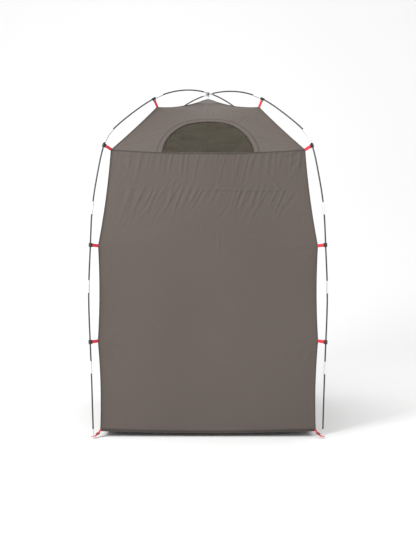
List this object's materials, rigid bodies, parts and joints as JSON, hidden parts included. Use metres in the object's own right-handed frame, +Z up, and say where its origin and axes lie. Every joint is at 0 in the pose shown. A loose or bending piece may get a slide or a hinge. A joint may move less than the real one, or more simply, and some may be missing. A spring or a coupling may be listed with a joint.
{
  "type": "privacy shower tent",
  "caption": "Floorless dome privacy tent of taupe fabric hung by red webbing and black clips from crossed bent poles, with a half-moon mesh window and a zipped rear door.",
  "frame": {"origin": "on the ground, under the crossing of the poles", "axes": "+Z up, -Y towards the side with the half-moon window, +Y towards the door, +X to the right seen from the window side"},
  "size_m": [1.3332, 1.3332, 2.1327],
  "materials": {
    "fabric": "taupe coated polyester taffeta",
    "net": "dark see-through mesh",
    "webbing": "red polyester webbing",
    "dark_webbing": "dark grey webbing",
    "clip": "black moulded nylon",
    "pale_plastic": "pale translucent nylon",
    "pole": "black glass fibre",
    "metal": "satin",
    "dark_metal": "dark enamel",
    "cord": "elastic cord in its own braid"
  },
  "bodies": {
    "tent": {"apex_hook": "pale_plastic", "corner_webbing_front_left": "webbing", "corner_webbing_front_right": "webbing", "corner_webbing_rear_left": "webbing", "corner_webbing_rear_right": "webbing", "crown_pole_a": "pole", "crown_pole_b": "pole", "elbow_front_left": "metal", "elbow_front_right": "metal", "elbow_rear_left": "metal", "elbow_rear_right": "metal", "front_wall": "fabric", "grommet_front_left": "metal", "grommet_front_right": "metal", "grommet_rear_left": "metal", "grommet_rear_right": "metal", "left_wall": "fabric", "leg_pole_front_left": "pole", "leg_pole_front_right": "pole", "leg_pole_rear_left": "pole", "leg_pole_rear_right": "pole", "pole_tip_front_left": "metal", "pole_tip_front_right": "metal", "pole_tip_rear_left": "metal", "pole_tip_rear_right": "metal", "rear_wall": "fabric", "right_wall": "fabric", "roof_front": "fabric", "roof_left": "fabric", "roof_rear": "fabric", "roof_right": "fabric", "shock_cord_a": "cord", "shock_cord_b": "cord", "window_net": "net", "window_pocket": "fabric"},
    "door_leaf_left": {"door_leaf_left": "fabric"},
    "door_leaf_right": {"door_leaf_right": "fabric"},
    "window_flap": {"window_flap": "fabric"},
    "hanging_ring": {"hanging_ring": "metal"},
    "hanging_strap": {"hanging_strap": "dark_webbing"},
    "zip_slider": {"zip_slider": "dark_metal"},
    "zip_pull": {"zip_pull": "dark_metal"},
    "door_tie_left": {"door_tie_left": "dark_webbing"},
    "door_tie_right": {"door_tie_right": "dark_webbing"},
    "clip_front_left_crown": {"clip_front_left_crown": "clip"},
    "clip_front_left_knee": {"clip_front_left_knee": "clip"},
    "clip_front_left_shoulder": {"clip_front_left_shoulder": "clip"},
    "clip_front_left_waist": {"clip_front_left_waist": "clip"},
    "clip_front_right_crown": {"clip_front_right_crown": "clip"},
    "clip_front_right_knee": {"clip_front_right_knee": "clip"},
    "clip_front_right_shoulder": {"clip_front_right_shoulder": "clip"},
    "clip_front_right_waist": {"clip_front_right_waist": "clip"},
    "clip_rear_left_crown": {"clip_rear_left_crown": "clip"},
    "clip_rear_left_knee": {"clip_rear_left_knee": "clip"},
    "clip_rear_left_shoulder": {"clip_rear_left_shoulder": "clip"},
    "clip_rear_left_waist": {"clip_rear_left_waist": "clip"},
    "clip_rear_right_crown": {"clip_rear_right_crown": "clip"},
    "clip_rear_right_knee": {"clip_rear_right_knee": "clip"},
    "clip_rear_right_shoulder": {"clip_rear_right_shoulder": "clip"},
    "clip_rear_right_waist": {"clip_rear_right_waist": "clip"}
  },
  "joints": [
    {"name": "door_left_swing", "type": "hinge", "parent": "tent", "child": "door_leaf_left", "pos_m": [-0.5, 0.60997, 0], "axis": [0, 0, 1], "range_deg": [0, 110]},
    {"name": "door_right_swing", "type": "hinge", "parent": "tent", "child": "door_leaf_right", "pos_m": [0.5, 0.60997, 0], "axis": [0, 0, -1], "range_deg": [0, 110]},
    {"name": "window_flap_fold", "type": "hinge", "parent": "tent", "child": "window_flap", "pos_m": [0, -0.54296, 1.61525], "axis": [1, 0, 0], "range_deg": [0, 134]},
    {"name": "ring_swing", "type": "hinge", "parent": "tent", "child": "hanging_ring", "pos_m": [0, 0, 2.067], "axis": [1, 0, 0], "range_deg": [-80, 80]},
    {"name": "strap_swing", "type": "hinge", "parent": "tent", "child": "hanging_strap", "pos_m": [0, 0.29318, 1.88711], "axis": [1, 0, 0], "range_deg": [-80, 30]},
    {"name": "tie_left_swing", "type": "hinge", "parent": "tent", "child": "door_tie_left", "pos_m": [-0.56, 0.62276, 1.05], "axis": [1, 0, 0], "range_deg": [0, 150]},
    {"name": "tie_right_swing", "type": "hinge", "parent": "tent", "child": "door_tie_right", "pos_m": [0.56, 0.62276, 1.05], "axis": [1, 0, 0], "range_deg": [0, 150]},
    {"name": "zip_slide", "type": "slide", "parent": "door_leaf_left", "child": "zip_slider", "axis": [0, 0.032, -0.9995], "range_m": [0, 1.49]},
    {"name": "zip_pull_swing", "type": "hinge", "parent": "zip_slider", "child": "zip_pull", "pos_m": [0, 0.56443, 1.54149], "axis": [1, 0, 0], "range_deg": [0, 160]},
    {"name": "clip_front_left_crown_turn", "type": "hinge", "parent": "tent", "child": "clip_front_left_crown", "pos_m": [-0.32552, -0.32552, 1.97988], "axis": [-0.6045, -0.6045, -0.5187], "range_deg": [0, 75]},
    {"name": "clip_front_left_shoulder_turn", "type": "hinge", "parent": "tent", "child": "clip_front_left_shoulder", "pos_m": [-0.58157, -0.58157, 1.64817], "axis": [-0.2462, -0.2462, -0.9374], "range_deg": [0, 75]},
    {"name": "clip_front_left_waist_turn", "type": "hinge", "parent": "tent", "child": "clip_front_left_waist", "pos_m": [-0.64578, -0.64578, 1.08053], "axis": [-0.0328, -0.0328, -0.9989], "range_deg": [0, 75]},
    {"name": "clip_front_left_knee_turn", "type": "hinge", "parent": "tent", "child": "clip_front_left_knee", "pos_m": [-0.6467, -0.6467, 0.54122], "axis": [0.0363, 0.0363, -0.9987], "range_deg": [0, 75]},
    {"name": "clip_rear_right_crown_turn", "type": "hinge", "parent": "tent", "child": "clip_rear_right_crown", "pos_m": [0.32552, 0.32552, 1.97988], "axis": [0.6045, 0.6045, -0.5187], "range_deg": [0, 75]},
    {"name": "clip_rear_right_shoulder_turn", "type": "hinge", "parent": "tent", "child": "clip_rear_right_shoulder", "pos_m": [0.58157, 0.58157, 1.64817], "axis": [0.2462, 0.2462, -0.9374], "range_deg": [0, 75]},
    {"name": "clip_rear_right_waist_turn", "type": "hinge", "parent": "tent", "child": "clip_rear_right_waist", "pos_m": [0.64578, 0.64578, 1.08053], "axis": [0.0328, 0.0328, -0.9989], "range_deg": [0, 75]},
    {"name": "clip_rear_right_knee_turn", "type": "hinge", "parent": "tent", "child": "clip_rear_right_knee", "pos_m": [0.6467, 0.6467, 0.54122], "axis": [-0.0363, -0.0363, -0.9987], "range_deg": [0, 75]},
    {"name": "clip_front_right_crown_turn", "type": "hinge", "parent": "tent", "child": "clip_front_right_crown", "pos_m": [0.32758, -0.32758, 1.9781], "axis": [0.6068, -0.6068, -0.5134], "range_deg": [0, 75]},
    {"name": "clip_front_right_shoulder_turn", "type": "hinge", "parent": "tent", "child": "clip_front_right_shoulder", "pos_m": [0.58236, -0.58236, 1.64514], "axis": [0.2424, -0.2424, -0.9394], "range_deg": [0, 75]},
    {"name": "clip_front_right_waist_turn", "type": "hinge", "parent": "tent", "child": "clip_front_right_waist", "pos_m": [0.64578, -0.64578, 1.08053], "axis": [0.0328, -0.0328, -0.9989], "range_deg": [0, 75]},
    {"name": "clip_front_right_knee_turn", "type": "hinge", "parent": "tent", "child": "clip_front_right_knee", "pos_m": [0.6467, -0.6467, 0.54122], "axis": [-0.0363, 0.0363, -0.9987], "range_deg": [0, 75]},
    {"name": "clip_rear_left_crown_turn", "type": "hinge", "parent": "tent", "child": "clip_rear_left_crown", "pos_m": [-0.32758, 0.32758, 1.9781], "axis": [-0.6068, 0.6068, -0.5134], "range_deg": [0, 75]},
    {"name": "clip_rear_left_shoulder_turn", "type": "hinge", "parent": "tent", "child": "clip_rear_left_shoulder", "pos_m": [-0.58236, 0.58236, 1.64514], "axis": [-0.2424, 0.2424, -0.9394], "range_deg": [0, 75]},
    {"name": "clip_rear_left_waist_turn", "type": "hinge", "parent": "tent", "child": "clip_rear_left_waist", "pos_m": [-0.64578, 0.64578, 1.08053], "axis": [-0.0328, 0.0328, -0.9989], "range_deg": [0, 75]},
    {"name": "clip_rear_left_knee_turn", "type": "hinge", "parent": "tent", "child": "clip_rear_left_knee", "pos_m": [-0.6467, 0.6467, 0.54122], "axis": [0.0363, -0.0363, -0.9987], "range_deg": [0, 75]}
  ]
}
